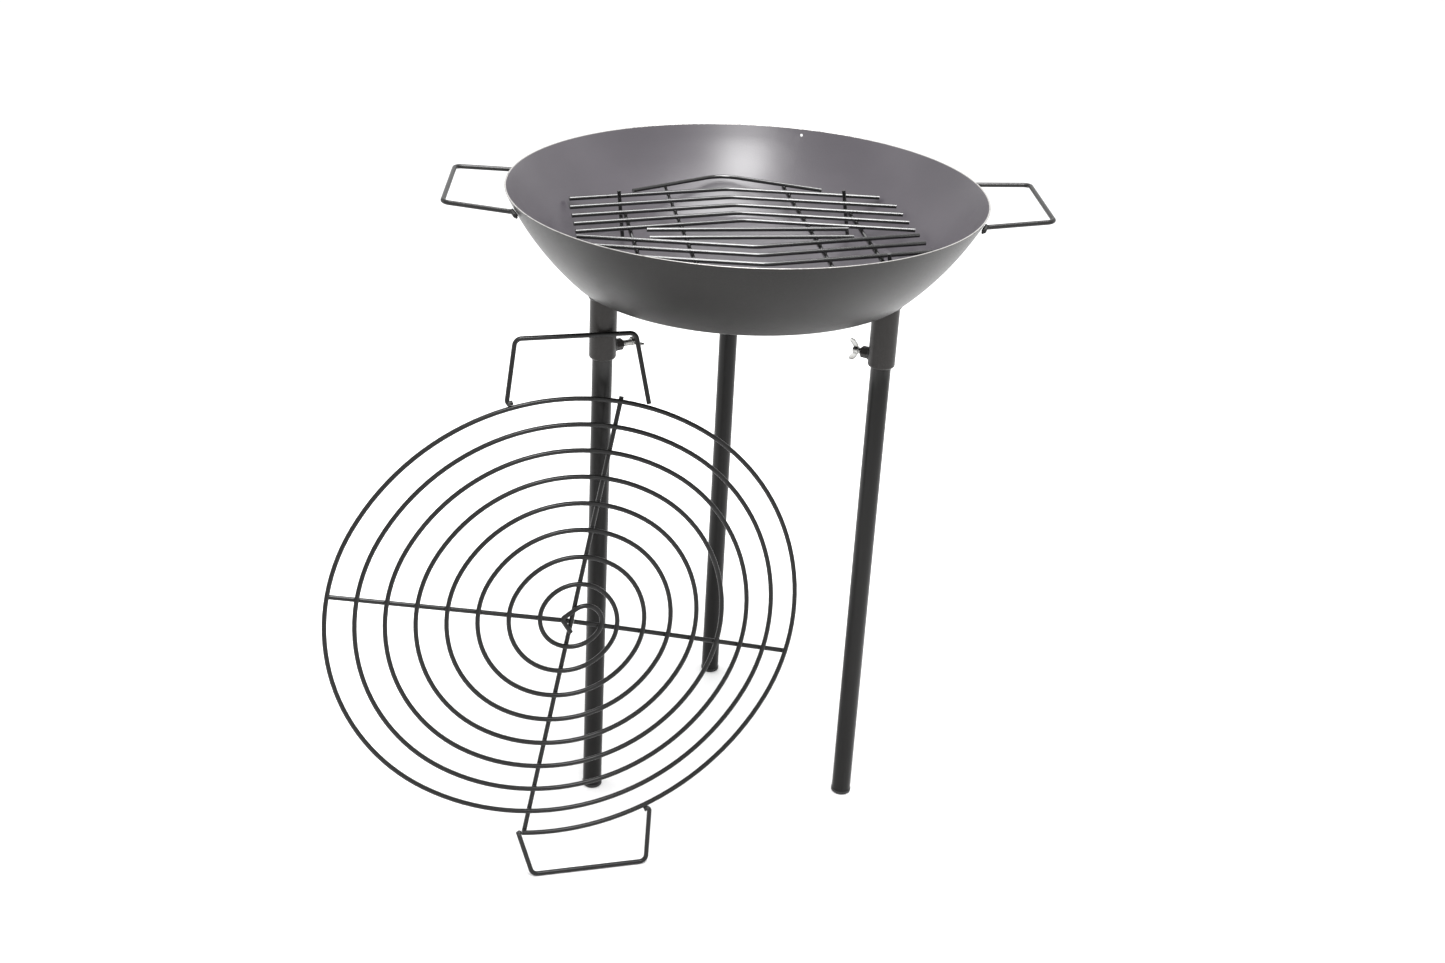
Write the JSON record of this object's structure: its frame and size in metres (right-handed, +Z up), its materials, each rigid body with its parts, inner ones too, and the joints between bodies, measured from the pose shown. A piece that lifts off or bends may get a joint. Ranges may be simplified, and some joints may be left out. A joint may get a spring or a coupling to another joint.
{
  "type": "fire pit with grate",
  "caption": "Round steel fire bowl on three tube legs, with a drop-in fire grate, two side handles, wing-screw clamps and a spiral cooking grill leaning on one leg.",
  "frame": {"origin": "on the bowl's axis at ground level, midway between the three legs", "axes": "+Z up, +X through the right bowl handle, +Y towards the back leg"},
  "size_m": [0.872, 0.6012, 0.83],
  "materials": {
    "bowl_paint": "dark grey heat-resistant paint, satin with a fine orange-peel grain",
    "leg_paint": "satin black paint",
    "foot_cap": "matte black end cap",
    "zinc": "bright zinc plate",
    "grate_enamel": "gloss black enamel",
    "grill_paint": "dark satin paint on wire"
  },
  "bodies": {
    "fire_bowl": {"bowl": "bowl_paint", "bowl_handle_left": "bowl_paint", "bowl_handle_right": "bowl_paint", "leg_socket_left": "bowl_paint", "leg_socket_right": "bowl_paint", "leg_socket_back": "bowl_paint", "clamp_nut_left": "bowl_paint", "clamp_nut_right": "bowl_paint", "clamp_nut_back": "bowl_paint"},
    "leg_left_with_foot": {"leg_left": "leg_paint", "foot_plug_left": "foot_cap"},
    "leg_right_with_foot": {"leg_right": "leg_paint", "foot_plug_right": "foot_cap"},
    "leg_back_with_foot": {"leg_back": "leg_paint", "foot_plug_back": "foot_cap"},
    "wing_screw_left_body": {"wing_screw_left": "zinc"},
    "wing_screw_right_body": {"wing_screw_right": "zinc"},
    "wing_screw_back_body": {"wing_screw_back": "zinc"},
    "fire_grate": {"grate_rod_back_1": "grate_enamel", "grate_rod_back_2": "grate_enamel", "grate_rod_back_3": "grate_enamel", "grate_rod_back_4": "grate_enamel", "grate_rod_back_5": "grate_enamel", "grate_rod_back_short": "grate_enamel", "grate_rod_back_straight": "grate_enamel", "grate_rod_front_1": "grate_enamel", "grate_rod_front_2": "grate_enamel", "grate_rod_front_3": "grate_enamel", "grate_rod_front_4": "grate_enamel", "grate_rod_front_5": "grate_enamel", "grate_rod_front_short": "grate_enamel", "grate_rod_front_straight": "grate_enamel", "grate_rail_inner_left": "grate_enamel", "grate_rail_inner_right": "grate_enamel", "grate_rail_outer_left": "grate_enamel", "grate_rail_outer_right": "grate_enamel", "grate_foot_front_left": "grate_enamel", "grate_foot_front_right": "grate_enamel", "grate_foot_back_left": "grate_enamel", "grate_foot_back_right": "grate_enamel"},
    "spiral_grill": {"grill_spiral": "grill_paint", "grill_upright_bar": "grill_paint", "grill_cross_bar_left": "grill_paint", "grill_cross_bar_right": "grill_paint", "grill_handle_top": "grill_paint", "grill_handle_bottom": "grill_paint"}
  },
  "joints": [
    {"name": "leg_left_slide", "type": "slide", "parent": "fire_bowl", "child": "leg_left_with_foot", "axis": [0, 0, -1], "range_m": [0, 0.09]},
    {"name": "leg_right_slide", "type": "slide", "parent": "fire_bowl", "child": "leg_right_with_foot", "axis": [0, 0, -1], "range_m": [0, 0.09]},
    {"name": "leg_back_slide", "type": "slide", "parent": "fire_bowl", "child": "leg_back_with_foot", "axis": [0, 0, -1], "range_m": [0, 0.09]},
    {"name": "wing_screw_left_turn", "type": "hinge", "parent": "fire_bowl", "child": "wing_screw_left_body", "pos_m": [-0.14263, -0.08235, 0.65], "axis": [0.866, 0.5, 0], "continuous": true},
    {"name": "wing_screw_right_turn", "type": "hinge", "parent": "fire_bowl", "child": "wing_screw_right_body", "pos_m": [0.14263, -0.08235, 0.65], "axis": [-0.866, 0.5, 0], "continuous": true},
    {"name": "wing_screw_back_turn", "type": "hinge", "parent": "fire_bowl", "child": "wing_screw_back_body", "pos_m": [0, 0.1647, 0.65], "axis": [0, -1, 0], "continuous": true},
    {"name": "grate_lift", "type": "slide", "parent": "fire_bowl", "child": "fire_grate", "axis": [0, 0, 1], "range_m": [0, 0.125]},
    {"name": "grill_lean", "type": "hinge", "parent": "fire_bowl", "child": "spiral_grill", "pos_m": [-0.1693, -0.282, 0.003], "axis": [0.9763, 0.2164, 0], "range_deg": [0, 103]}
  ]
}
